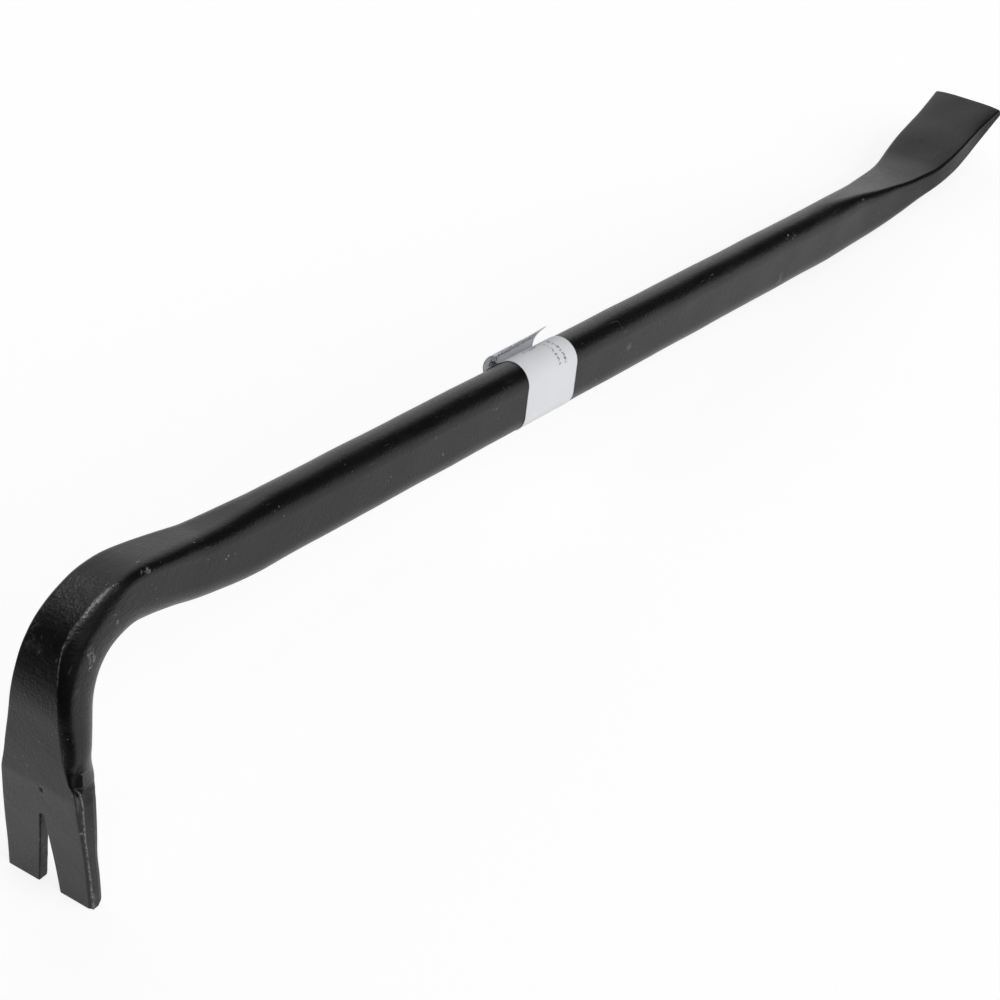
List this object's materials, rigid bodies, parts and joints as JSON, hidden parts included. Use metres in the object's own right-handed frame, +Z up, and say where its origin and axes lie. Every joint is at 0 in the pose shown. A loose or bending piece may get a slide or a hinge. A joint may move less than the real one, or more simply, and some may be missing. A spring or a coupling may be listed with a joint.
{
  "type": "wrecking bar",
  "caption": "Forged flat-oval wrecking bar: hooked end with a split nail claw, straight shaft, upturned flat pry blade, and a paper label wrapped round the shaft.",
  "frame": {"origin": "middle of the bounding box at floor level, with the bar standing on its claw tips and on the heel of its blade", "axes": "+X runs from the claw to the blade, +Y is the side the label's flag leans to, +Z is up"},
  "size_m": [0.6778, 0.0394, 0.1131],
  "materials": {
    "black_paint_on_steel": "semi-gloss black paint on forged steel",
    "white_paper": "smooth white paper"
  },
  "bodies": {
    "root": {"forged_bar": "black_paint_on_steel", "wrap_label": "white_paper"}
  },
  "joints": []
}
